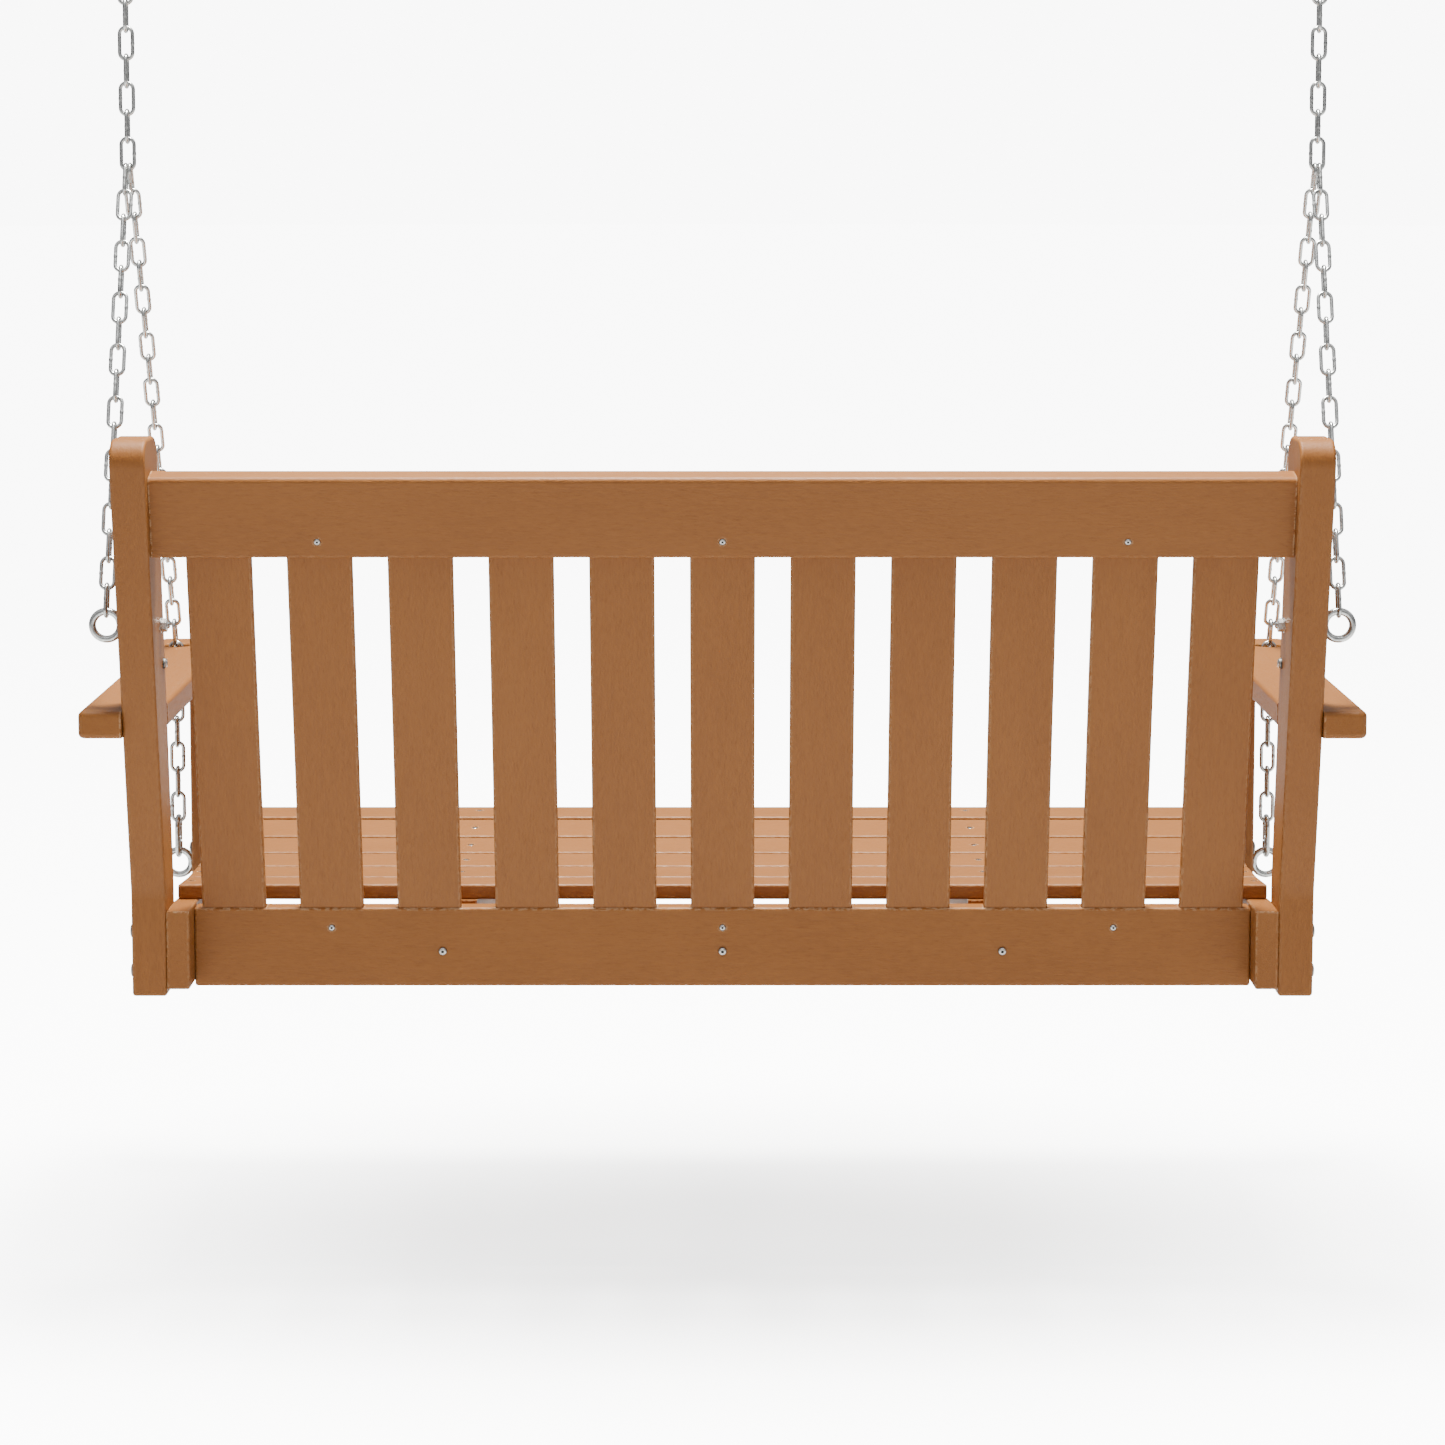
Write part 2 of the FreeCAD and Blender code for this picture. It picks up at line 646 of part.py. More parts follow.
def rig(balance):
    """Where the chains meet above a balance point: yoke height, bend height, low links."""
    length = rear_links * pitch - yoke_slack - eye_wire / 2 - link_gap / 2
    yoke = rear_crown.z + fall(length, hang_splay + yoke_spread, balance - rear_eye_y)
    length = front_links * pitch - yoke_slack
    bend = yoke - fall(length, hang_splay - yoke_spread, balance - front_eye_y)
    drop = bend - front_crown.z + snap_fixed
    low_links = int((drop - snap_inside_least) / pitch)
    return yoke, bend, low_links, drop - low_links * pitch


plastic = [leg, post, side_rail, armrest]
plastic_middle = [front_rail, rear_rail, crest_rail, middle_support, left_support,
                  right_support] + seat + slats
steel = ([rear_eye, front_eye, cap_bolt] + bolts + nuts + washers + down_screws + edge_screws +
         rail_screws)
steel_middle = (top_screws + bottom_screws + rear_frame_screws + front_frame_screws +
                seat_screws)
weighed = ([(piece, 2 * plastic_density) for piece in plastic] +
           [(piece, plastic_density) for piece in plastic_middle] +
           [(piece, 2 * steel_density) for piece in steel] +
           [(piece, steel_density) for piece in steel_middle])
frame_mass = sum(piece.Volume * density for piece, density in weighed)
frame_moment = 0.0
for piece, density in weighed:
    for solid in piece.Solids:
        frame_moment += solid.Volume * density * solid.CenterOfMass.y
link_mass = link.Volume * steel_density
balance = frame_moment / frame_mass
for _ in range(6):
    yoke_height, bend_height, low_links, snap_inside = rig(balance)
    snap_mass = sum(piece.Volume for piece in snap(snap_inside)[:3]) * steel_density
    low_mass = low_links * link_mass + snap_mass
    moment = frame_moment + 2 * (low_mass * front_eye_y + link_mass / 2 * (
        rear_links * rear_eye_y + front_links * front_eye_y))
    balance = moment / (frame_mass + 2 * low_mass + link_mass * (rear_links + front_links))

yoke_bottom = Vec(hang_x, balance, yoke_height)
rear_start = yoke_bottom + Vec(yoke_spread, 0, 0)
down = (rear_crown - rear_start).normalize()
rear_chain = chain(rear_start - down * yoke_slack, down, rear_links, True)
front_start = yoke_bottom - Vec(yoke_spread, 0, 0)
bend = Vec(chain_x, front_eye_y, bend_height)
down = (bend - front_start).normalize()
front_chain = chain(front_start - down * yoke_slack, down, front_links, True)
front_chain += chain(bend, -Z_AXIS, low_links, front_links % 2 == 0)

body, gate, pin, pin_height = snap(snap_inside)
snap_middle = front_crown + Vec(0, 0, (snap_inside - eye_wire) / 2 - link_gap)
front_snap = []
for piece in (body, gate, pin):
    piece.rotate(Vec(0, 0, 0), Z_AXIS, -90)
    piece.translate(snap_middle)
    front_snap.append(piece)

yoke_link = placed_link(yoke_bottom + Vec(0, 0, link_reach / 2), -Z_AXIS, False)
hanger_foot = yoke_bottom + Vec(0, 0, pitch)
hanger_chain = [placed_link(hanger_foot + Vec(0, 0, link_reach / 2 + pitch * index), -Z_AXIS,
                            index % 2 == 0) for index in range(hanger_links)]
top_foot = hanger_foot + Vec(0, 0, pitch * hanger_links)
top_link = placed_link(top_foot + Vec(0, 0, link_reach / 2), -Z_AXIS, hanger_links % 2 == 0)
snap_bottom = top_foot + Vec(0, 0, link_reach - (wire + snap_wire) / 2 - link_gap)
body, gate, pin, top_pin_height = snap(top_snap_inside)
top_middle = snap_bottom + Vec(0, 0, (top_snap_inside + snap_wire) / 2)
top_snap = [at(piece, *top_middle) for piece in (body, gate, pin)]
hang_height = top_middle.z + top_snap_inside / 2

# ---------------------------------------------------------------- nodes
pair("back_leg", leg)
pair("front_post", post)
pair("side_rail", side_rail)
pair("armrest", armrest)
parts["seat_support_left"] = left_support
parts["seat_support_middle"] = middle_support
parts["seat_support_right"] = right_support
parts["front_rail"] = front_rail
parts["back_bottom_rail"] = rear_rail
parts["back_top_rail"] = crest_rail
for index, slat in enumerate(seat):
    parts["seat_slat_%d" % (index + 1)] = slat
for index, slat in enumerate(slats):
    parts["back_slat_%02d" % (index + 1)] = slat
parts["top_rail_screws"] = Part.makeCompound(top_screws)
parts["bottom_rail_screws"] = Part.makeCompound(bottom_screws)
parts["support_screws"] = Part.makeCompound(rear_frame_screws + front_frame_screws)
parts["seat_screws"] = Part.makeCompound(seat_screws)
parts["arm_and_rail_screws"] = both(down_screws + edge_screws + rail_screws)
parts["frame_bolts"] = both(bolts)
parts["cap_bolts"] = both([cap_bolt])
parts["nuts"] = both(nuts)
parts["washers"] = both(washers)
pair("rear_eye_bolt", rear_eye)
pair("front_eye_bolt", front_eye)
pair("rear_chain", Part.makeCompound(rear_chain))
pair("front_chain", Part.makeCompound(front_chain))
parts["front_snaps"] = both([front_snap[0]])
pair("front_snap_gate", front_snap[1])
parts["front_snap_pins"] = both([front_snap[2]])
parts["yoke_links"] = both([yoke_link])
pair("hanger_chain", Part.makeCompound(hanger_chain))
parts["top_links"] = both([top_link])
parts["top_snaps"] = both([top_snap[0]])
pair("top_snap_gate", top_snap[1])
parts["top_snap_pins"] = both([top_snap[2]])

origin = Vec(0, -balance, -hang_height)
os.makedirs("parts", exist_ok=True)
for name, shape in parts.items():
    shape = shape.copy()
    shape.translate(origin)
    shape.exportStep("parts/%s.step" % name)

print("nodes", len(parts), "mass kg", round(frame_mass, 2), "balance", round(balance, 2))
print("hang height", round(hang_height, 2), "yoke", round(yoke_height, 2),
      "bend", round(bend_height, 2), "low links", low_links, "snap", round(snap_inside, 2))
for label, place in (("swing axis", snap_bottom),
                     ("sway axis", top_foot),
                     ("level axis", hanger_foot), ("tilt axis", yoke_bottom),
                     ("front gate", snap_middle + Vec(0, -snap_width / 2, pin_height)),
                     ("top gate", top_middle + Vec(snap_width / 2, 0, top_pin_height))):
    point = place + origin
    print(label, round(point.x / 1000, 6), round(point.y / 1000, 6), round(point.z / 1000, 6))
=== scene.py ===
import math

import bpy
import numpy as np
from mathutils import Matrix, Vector


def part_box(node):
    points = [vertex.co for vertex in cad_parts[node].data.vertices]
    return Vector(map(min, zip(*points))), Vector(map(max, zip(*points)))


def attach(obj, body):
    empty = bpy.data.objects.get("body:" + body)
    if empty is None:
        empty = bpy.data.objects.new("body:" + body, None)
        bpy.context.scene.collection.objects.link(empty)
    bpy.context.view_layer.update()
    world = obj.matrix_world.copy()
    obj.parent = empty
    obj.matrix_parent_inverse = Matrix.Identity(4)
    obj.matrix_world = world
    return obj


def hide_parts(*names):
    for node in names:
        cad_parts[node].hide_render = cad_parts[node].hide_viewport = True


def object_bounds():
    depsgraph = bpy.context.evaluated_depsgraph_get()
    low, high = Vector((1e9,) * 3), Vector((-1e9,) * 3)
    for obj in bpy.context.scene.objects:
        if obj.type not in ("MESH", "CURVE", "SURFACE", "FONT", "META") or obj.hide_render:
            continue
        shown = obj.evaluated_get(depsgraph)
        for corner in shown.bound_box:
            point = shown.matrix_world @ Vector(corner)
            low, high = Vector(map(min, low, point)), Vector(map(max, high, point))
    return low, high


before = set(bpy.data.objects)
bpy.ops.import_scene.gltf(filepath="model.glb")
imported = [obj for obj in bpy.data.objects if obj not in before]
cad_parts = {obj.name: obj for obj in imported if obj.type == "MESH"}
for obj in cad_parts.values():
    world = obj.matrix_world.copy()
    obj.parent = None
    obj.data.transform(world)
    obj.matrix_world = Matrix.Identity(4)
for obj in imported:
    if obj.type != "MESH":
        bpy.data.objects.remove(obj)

# A porch swing seat in brown poly lumber, hung on zinc-plated chain. Metres.
# +X is the sitter's left, -Y the front, +Z up; the origin lies between the two hang points.
cad_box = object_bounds()

MM = 0.001
SIDES = ("left", "right")
X, Y, Z = np.eye(3)


# ---------------------------------------------------------------- shader maths
class Shade:
    """One socket of a material, with arithmetic that adds the nodes it needs."""

    def __init__(self, maker, socket):
        self.maker = maker
        self.socket = socket

    def math(self, operation, other, clamp=False):
        return self.maker.node("ShaderNodeMath", dict(operation=operation, use_clamp=clamp),
                               self, other)

    def __add__(self, other):
        return self.math("ADD", other)

    def __mul__(self, other):
        return self.math("MULTIPLY", other)

    def __sub__(self, other):
        return self.math("SUBTRACT", other)

    def __rsub__(self, other):
        return (self * -1.0) + other

    __radd__ = __add__
    __rmul__ = __mul__

    def clamped(self):
        return self.math("ADD", 0.0, clamp=True)

    def between(self, low, high):
        """0 below low, 1 above high, smooth in between."""
        return self.maker.node("ShaderNodeMapRange", dict(interpolation_type="SMOOTHSTEP"),
                               self, low, high, 0.0, 1.0)


class Maker:
    """Adds nodes to a tree: a new material's, whose finish it wires, or one that is given."""

    def __init__(self, name, tree=None):
        if tree is None:
            self.material = bpy.data.materials.new(name)
            self.material.use_nodes = True
            tree = self.material.node_tree
            tree.nodes.clear()
        self.tree = tree

    def node(self, kind, settings=None, *inputs, out=0, **named):
        """A node with its settings, its first sockets in order and others by name."""
        node = self.tree.nodes.new(kind)
        for key, value in (settings or {}).items():
            setattr(node, key, value)
        for key, value in list(enumerate(inputs)) + list(named.items()):
            socket = node.inputs[key.replace("_", " ") if isinstance(key, str) else key]
            if isinstance(value, Shade):
                self.tree.links.new(value.socket, socket)
            elif value is not None:
                socket.default_value = value
        return Shade(self, node.outputs[out])

    def place(self, turn=(0, 0, 0), stretch=(1, 1, 1)):
        """Object coordinates, turned and then stretched."""
        coordinates = self.node("ShaderNodeTexCoord", out=3)
        turned = self.node("ShaderNodeMapping", dict(vector_type="POINT"), coordinates,
                           Rotation=turn)
        return self.node("ShaderNodeVectorMath", dict(operation="MULTIPLY"), turned, stretch)

    def noise(self, place, detail=2.0, roughness=0.5, distortion=0.0):
        return self.node("ShaderNodeTexNoise", None, place, Scale=1.0, Detail=detail,
                         Roughness=roughness, Distortion=distortion)

    def cells(self, place):
        return self.node("ShaderNodeTexVoronoi", None, place, Scale=1.0)

    def blend(self, factor, first, second):
        """Two colours mixed by a factor."""
        mix = self.tree.nodes.new("ShaderNodeMix")
        mix.data_type = "RGBA"
        for socket, value in zip((mix.inputs[0], mix.inputs[6], mix.inputs[7]),
                                 (factor, first, second)):
            if isinstance(value, Shade):
                self.tree.links.new(value.socket, socket)
            else:
                socket.default_value = value if isinstance(value, float) else (*value, 1.0)
        return Shade(self, mix.outputs[2])

    def edges(self, radius, low, high):
        """1 on arrises and 0 on open faces: how far the rounded normal leaves the face's."""
        rounded = self.node("ShaderNodeBevel", dict(samples=4), radius)
        plain = self.node("ShaderNodeNewGeometry", out=1)
        turn = self.node("ShaderNodeVectorMath", dict(operation="DOT_PRODUCT"), rounded, plain,
                         out=1)
        return (1.0 - turn).between(low, high)

    def finish(self, base, roughness, height, bump_distance, strength=1.0, **constants):
        """The surface shader: what varies is linked, and constants are set on its sockets."""
        shader = self.tree.nodes.new("ShaderNodeBsdfPrincipled")
        bump = self.node("ShaderNodeBump", None, Strength=strength, Distance=bump_distance,
                         Height=height)
        for name, value in (("Base Color", base), ("Roughness", roughness), ("Normal", bump)):
            self.tree.links.new(value.socket, shader.inputs[name])
        for name, value in constants.items():
            shader.inputs[name.replace("_", " ")].default_value = value
        output = self.tree.nodes.new("ShaderNodeOutputMaterial")
        self.tree.links.new(shader.outputs[0], output.inputs[0])
        return self.material


BROWN = (0.262, 0.096, 0.0195)          # linear colours
DEEP_BROWN = (0.226, 0.079, 0.0150)
# pale arris colour: wear, and a painted highlight on every edge
PALE_BROWN = (0.72, 0.50, 0.31)
PORE_BROWN = (0.150, 0.049, 0.010)
PIT_GREY = (0.16, 0.16, 0.15)
RUBBED_METAL = (0.86, 0.87, 0.86)
# near black: painted shade in recesses and where parts meet, and some dirt
SHADE_AND_DIRT = (0.035, 0.034, 0.032)
BOARD_EDGE = 4.0 * MM                   # how far from an arris the wear and the painted highlight reach
METAL_EDGE = 0.7 * MM
EMBOSSING = 1.2 * MM                    # depth of the boards' grain
METAL_RELIEF = 0.18 * MM


def lumber(name, turn):
    """Moulded poly lumber. The turn brings the board's length onto x, where the embossed
    grain runs: fine fibres, longer ripples and a leathery pebble, each a stretched noise."""
    made = Maker(name)
    fibre = made.noise(made.place(turn, (110, 900, 900)), 3.0, 0.65, 0.6)
    ripple = made.noise(made.place(turn, (34, 260, 260)), 3.0, 0.6, 1.4)
    pebble = made.cells(made.place(turn, (260, 520, 520)))
    cloud = made.noise(made.place(turn, (3.0, 8, 8)), 3.0, 0.5)
    rub = made.noise(made.place(turn, (160, 300, 300)), 3.0, 0.6)
    tone = (cloud * 0.34 + ripple * 0.40 + fibre * 0.26).between(0.34, 0.64)
    colour = made.blend(tone, DEEP_BROWN, BROWN)
    pores = 1.0 - fibre.between(0.28, 0.44)
    colour = made.blend(pores * 0.30, colour, PORE_BROWN)
    arris = made.edges(BOARD_EDGE, 0.014, 0.14)
    # paler, smoother arrises: partly wear, partly a painted highlight
    wear_and_highlight = (arris * rub.between(0.42, 0.56) * 0.55).clamped()
    colour = made.blend(wear_and_highlight, colour, PALE_BROWN)
    roughness = (0.40 + ripple * 0.16 + pores * 0.10 - wear_and_highlight * 0.34).clamped()
    height = fibre * 0.30 + ripple * 0.40 + pebble * 0.12 + rub * 0.18
    return made.finish(colour, roughness, height, EMBOSSING, 0.60, IOR=1.48,
                       Specular_IOR_Level=0.30)


def metal(name, pale, dark, grain, rough, spangle):
    """Bright steel: pale and dark patches, flakes of spangle, drawing marks, tiny pits, rubbed
    edges, and painted shade with some dirt where the piece's own shade-and-dirt value is high."""
    made = Maker(name)
    patch = made.noise(made.place(stretch=(90, 90, 90)), 4.0, 0.6)
    flake = made.cells(made.place(stretch=(spangle,) * 3))
    drawn = made.noise(made.place(stretch=grain), 3.0, 0.6)
    pits = made.noise(made.place(stretch=(1900, 1900, 1900)), 2.0, 0.5)
    shade_and_dirt = made.node("ShaderNodeAttribute", dict(attribute_name="shade_and_dirt"), out=2)
    arris = made.edges(METAL_EDGE, 0.03, 0.30)
    tone = (patch * 0.5 + flake * 0.3 + drawn * 0.2).between(0.28, 0.66)
    colour = made.blend(tone, dark, pale)
    colour = made.blend((1.0 - pits.between(0.30, 0.40)) * 0.35, colour, PIT_GREY)
    colour = made.blend(arris * 0.30, colour, RUBBED_METAL)
    # painted shade under screw heads, in sockets and where chain links meet; real dirt along
    # welds
    colour = made.blend((shade_and_dirt * 0.92).clamped(), colour, SHADE_AND_DIRT)
    roughness = (rough + patch * 0.14 + drawn * 0.08 + shade_and_dirt * 0.30 - arris * 0.06).clamped()
    height = patch * 0.35 + drawn * 0.35 + pits * 0.30
    return made.finish(colour, roughness, height, METAL_RELIEF, 0.40, Metallic=1.0)


QUARTER = math.pi / 2
SLAT_THICKNESS = 12 * MM
slat_low, slat_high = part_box("back_slat_01")
slat_lean = math.atan2(slat_high.y - slat_low.y - SLAT_THICKNESS, slat_high.z - slat_low.z)
materials = {
    "across": lumber("board_across", (0, 0, 0)),
    "back": lumber("board_of_back", (slat_lean, QUARTER, 0)),
    "upright": lumber("board_upright", (0, QUARTER, 0)),
    "fore_aft": lumber("board_fore_and_aft", (0, 0, QUARTER)),
    "zinc": metal("zinc_plate", (0.78, 0.79, 0.78), (0.46, 0.47, 0.47), (300, 300, 300), 0.13,
                  420.0),
    "stainless": metal("stainless", (0.76, 0.75, 0.73), (0.50, 0.49, 0.48),
                       (1500, 500, 500), 0.16, 700.0),
}


# ---------------------------------------------------------------- the carried-over pieces
def dress(node, material):
    """Gives a node of the frame its finish."""
    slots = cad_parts[node].data.materials
    slots.clear()
    slots.append(materials[material])


def finish_of(node):
    """The first row with a word of the node's name; the order of the rows matters."""
    rows = ((("screws", "bolts", "nuts", "washers"), "stainless"),
            (("seat_slat", "front_rail", "bottom_rail", "top_rail"), "across"),
            (("back_slat",), "back"),
            (("leg", "post"), "upright"),
            (("armrest", "support", "side_rail"), "fore_aft"),
            (("chain", "snap", "link", "eye"), "zinc"))
    return next(finish for words, finish in rows if any(word in node for word in words))


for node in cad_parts:
    dress(node, finish_of(node))


# ---------------------------------------------------------------- turned and bent pieces
def shells(node):
    """The corner points of each separate solid of a node: touching triangles share a label,
    which spreads from corner to corner until nothing changes."""
    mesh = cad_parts[node].data
    points = np.empty(len(mesh.vertices) * 3)
    mesh.vertices.foreach_get("co", points)
    points = points.reshape(-1, 3)
    mesh.calc_loop_triangles()
    corners = np.empty(len(mesh.loop_triangles) * 3, dtype=np.int32)
    mesh.loop_triangles.foreach_get("vertices", corners)
    keys = np.round(points / (0.01 * MM)).astype(np.int64)
    unique, first, index = np.unique(keys, axis=0, return_index=True, return_inverse=True)
    corners = index.reshape(-1)[corners].reshape(-1, 3)
    labels = np.arange(len(unique))
    while True:
        lowest = labels[corners].min(axis=1)
        spread = labels.copy()
        np.minimum.at(spread, corners.ravel(), np.repeat(lowest, 3))
        spread = spread[spread]
        if (spread == labels).all():
            break
        labels = spread
    used = np.unique(corners)
    return [points[first[used[labels[used] == label]]] for label in np.unique(labels[used])]


def lie(points):
    """Middle, axes (longest first) and extents of one solid, from its spread about its mean."""
    spread = points - points.mean(axis=0)
    axes = np.linalg.eigh(spread.T @ spread)[1][:, ::-1].T
    reach = points @ axes.T
    low, high = reach.min(axis=0), reach.max(axis=0)
    return ((low + high) / 2) @ axes, axes, high - low


def grid_faces(rows, columns, closed_rows):
    """Quads of a grid that is closed across its columns, and along its rows if asked."""
    row, column = np.meshgrid(np.arange(rows if closed_rows else rows - 1),
                              np.arange(columns), indexing="ij")
    beside, after = (column + 1) % columns, (row + 1) % rows
    return np.stack([row * columns + column, row * columns + beside,
                     after * columns + beside, after * columns + column], -1).reshape(-1, 4)


class Stock:
    """Collects closed surfaces and makes them one piece."""

    def __init__(self):
        self.points = []
        self.faces = []
        self.shade_and_dirt = []
        self.count = 0

    def add(self, grid, closed_rows, shade_and_dirt=0.0):
        """A grid of points, rows by columns, with a value of painted shade and dirt for each row;
        open ends are drawn together into poles."""
        rows, columns = grid.shape[:2]
        points = grid.reshape(-1, 3)
        faces = grid_faces(rows, columns, closed_rows).tolist()
        if not closed_rows:
            points = np.vstack([points, grid[0].mean(axis=0), grid[-1].mean(axis=0)])
            pole, last = rows * columns, (rows - 1) * columns
            for column in range(columns):
                beside = (column + 1) % columns
                faces.append([pole, beside, column])
                faces.append([pole + 1, last + column, last + beside])
        inside = grid.reshape(-1, 3).mean(axis=0)
        if self.turned_in(points, faces, inside):
            faces = [face[::-1] for face in faces]
        row_shade_and_dirt = np.repeat(np.broadcast_to(shade_and_dirt, rows), columns)
        self.shade_and_dirt.append(np.append(row_shade_and_dirt, row_shade_and_dirt[[0, -1]]) if not closed_rows else row_shade_and_dirt)
        self.points.append(points)
        self.faces += [[self.count + corner for corner in face] for face in faces]
        self.count += len(points)

    def turned_in(self, points, faces, inside):
        """True where the signed volume of the closed surface is negative."""
        triangles = np.array([[face[0], face[i], face[i + 1]] for face in faces
                              for i in range(1, len(face) - 1)])
        a, b, c = (points[triangles[:, i]] - inside for i in range(3))
        return float(np.einsum("ij,ij->i", a, np.cross(b, c)).sum()) < 0

    def piece(self, name, body, slot, material, *nodes):
        mesh = bpy.data.meshes.new(name)
        mesh.from_pydata(np.vstack(self.points).tolist(), [], self.faces)
        mesh.polygons.foreach_set("use_smooth", [True] * len(self.faces))
        mesh.set_sharp_from_angle(angle=math.radians(38))
        mesh.materials.append(materials[material])
        # each point's painted shade and dirt, which the metal reads to darken
        layer = mesh.attributes.new("shade_and_dirt", "FLOAT", "POINT")
        layer.data.foreach_set("value", np.concatenate(self.shade_and_dirt).astype(np.float32))
        made = bpy.data.objects.new(name, mesh)
        bpy.context.scene.collection.objects.link(made)
        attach(made, body)
        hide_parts(*nodes)
        return made


def around(columns):
    return np.linspace(0, 2 * math.pi, columns, endpoint=False)


def bent(path, inward, normal, radius, columns):
    """A round wire along a path: at each point a circle in the plane of the two side
    directions, with its own radius."""
    angle = around(columns)[None, :, None]
    side = inward[:, None, :] * np.cos(angle) + normal[None, None, :] * np.sin(angle)
    return path[:, None, :] + side * np.broadcast_to(radius, len(path))[:, None, None]


def turned(rows, place, axis, start, columns=24):
    """A lathe form: each row is (height along the axis, radius, sides). With no sides it is
    a circle; with sides it is a polygon, the apothem over the cosine of the angle to it."""
    third = np.cross(axis, start)
    angle = around(columns)
    rings = []
    for height, radius, sides in rows:
        shape = np.full(columns, radius)
        if sides:
            half_side = math.pi / sides
            shape = radius / np.cos((angle + half_side) % (2 * half_side) - half_side)
        rings.append(place + axis * height + shape[:, None] * (
            np.cos(angle)[:, None] * start + np.sin(angle)[:, None] * third))
    return np.array(rings)


def thread(low, high, radius, pitch, depth):
    """Lathe rows of a thread seen as close rings: the radius rises and falls once a pitch."""
    steps = max(int((high - low) / pitch) * 4, 4)
    heights = np.linspace(low, high, steps + 1)
    return [(height, radius - depth * (step % 4 == 0) - depth / 2 * (step % 2 == 1), 0)
            for step, height in enumerate(heights)]


# ---------------------------------------------------------------- chain
WELD_SWELL, WELD_LENGTH = 0.15, 1.3 * MM
NECK_DEPTH, NECK_PLACE, NECK_LENGTH = 0.05, 3.4 * MM, 1.2 * MM      # beside each weld


def bell(distance, width):
    """1 at no distance, falling as the exponential of minus its square."""
    return np.exp(-(distance / width) ** 2)


def chain_link(stock, points, weld_side):
    """An oval link: two straights and two half circles, one turn of the path parameter, with
    a weld on one straight where the wire swells as a bell curve."""
    middle, (along, across, normal), (length, width, wire) = lie(points)
    radius = wire / 2
    bend = (width - wire) / 2
    straight = (length - wire) / 2 - bend
    arc = np.linspace(0, math.pi, 13)
    run = np.linspace(-straight, straight, 15)[1:-1]
    ends = np.concatenate([np.cos(arc), np.full(13, -1.0), -np.cos(arc), np.full(13, 1.0)])
    rise = np.concatenate([straight + bend * np.sin(arc), -run,
                           -straight - bend * np.sin(arc), run])
    offset = ends * bend
    path = middle + offset[:, None] * across + rise[:, None] * along
    climb = rise - np.clip(rise, -straight, straight)
    inward = offset[:, None] * across + climb[:, None] * along
    inward /= np.linalg.norm(inward, axis=1)[:, None]
    on_weld = (np.abs(climb) < MM * 0.01) & (offset * weld_side > 0)
    swell = 1 + WELD_SWELL * bell(rise, WELD_LENGTH) * on_weld
    swell -= NECK_DEPTH * bell(np.abs(rise) - NECK_PLACE, NECK_LENGTH) * on_weld
    # painted shade towards the crowns, where links meet, and a darker welded straight
    crown = np.clip(np.abs(climb) / bend, 0, 1) ** 3
    stock.add(bent(path, inward, normal, radius * swell, 12), True, 0.30 * crown + 0.18 * on_weld)


chain_bodies = {"rear_chain_left": "seat", "rear_chain_right": "seat",
                "front_chain_left": "seat", "front_chain_right": "seat",
                "hanger_chain_left": "hanger_left", "hanger_chain_right": "hanger_right",
                "yoke_links": "yokes", "top_links": "top_links"}
for node, body in chain_bodies.items():
    stock = Stock()
    for number, solid in enumerate(shells(node)):
        chain_link(stock, solid, 1 if number % 2 else -1)
    stock.piece("welded_" + node, body, "zinc", "zinc", node)


# ---------------------------------------------------------------- eye bolts
BOLT_PITCH = 1.25 * MM
SCREW_PITCH = 1.8 * MM
SHANK = 4.0 * MM
EYE_THREAD_END = 24 * MM
EYE_FLARE = 7 * MM


def eye_bolt(node):
    """A forged eye: a ring, and a shank that flares into it and ends in a thread."""
    low, high = map(np.array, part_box(node))
    outward = 1.0 if low[0] > 0 else -1.0
    size = high[2] - low[2]
    wire = min(high[1] - low[1], size / 4)
    ring = (size - wire) / 2
    middle = (low + high) / 2
    middle[0] = (high[0] if outward > 0 else low[0]) - outward * size / 2
    tip = low[0] if outward > 0 else high[0]
    angle = around(56)
    spoke = np.cos(angle)[:, None] * X + np.sin(angle)[:, None] * Z
    stock = Stock()
    toward = outward * spoke[:, 0]
    swell = wire / 2 * (1 + 0.10 * bell(1 + toward, 0.08))
    stock.add(bent(middle + spoke * ring, spoke, Y, swell, 18), True)
    reach = abs(middle[0] - tip) - ring
    rows = [(0.0, SHANK * 0.55, 0), (0.5 * MM, SHANK * 0.72, 0), (1.0 * MM, SHANK * 0.84, 0)]
    rows += thread(1.2 * MM, EYE_THREAD_END, SHANK * 0.99, BOLT_PITCH, 0.55 * MM)
    rows += [(EYE_THREAD_END + MM, SHANK, 0), (reach - EYE_FLARE, SHANK, 0)]
    flare = np.linspace(0, 1, 7)
    rows += [(reach - EYE_FLARE * (1 - t), SHANK * (1 + 0.28 * t * t), 0) for t in flare[1:]]
    rows += [(reach + 1.5 * MM, SHANK * 0.6, 0)]
    place = middle.copy()
    place[0] = tip
    stock.add(turned(rows, place, X * outward, Z), False)
    stock.piece("forged_" + node, "seat", "zinc", "zinc", node)


for side in SIDES:
    eye_bolt("rear_eye_bolt_" + side)
    eye_bolt("front_eye_bolt_" + side)


# ---------------------------------------------------------------- nuts, washers, bolts, screws
def nuts():
    """Hexagons with both faces chamfered where a cone meets the corners, and a threaded bore."""
    stock = Stock()
    for points in shells("nuts"):
        low, high = points.min(axis=0), points.max(axis=0)
        thick, flats = high[0] - low[0], (high[2] - low[2]) / 2
        place = (low + high) / 2
        place[0] = low[0]
        bore, chamfer, ease = 4.4 * MM, 0.5 * MM, 0.3 * MM
        rows = [(0.0, bore, 0), (0.0, flats * 0.93, 0), (chamfer, flats, 6),
                (thick - chamfer, flats, 6), (thick, flats * 0.93, 0), (thick, bore, 0)]
        rows += thread(ease, thick - ease, bore, BOLT_PITCH, ease)[::-1]
        stock.add(turned(rows, place, X, Y, 48), True)
    stock.piece("hexagon_nuts", "seat", "stainless", "stainless", "nuts")


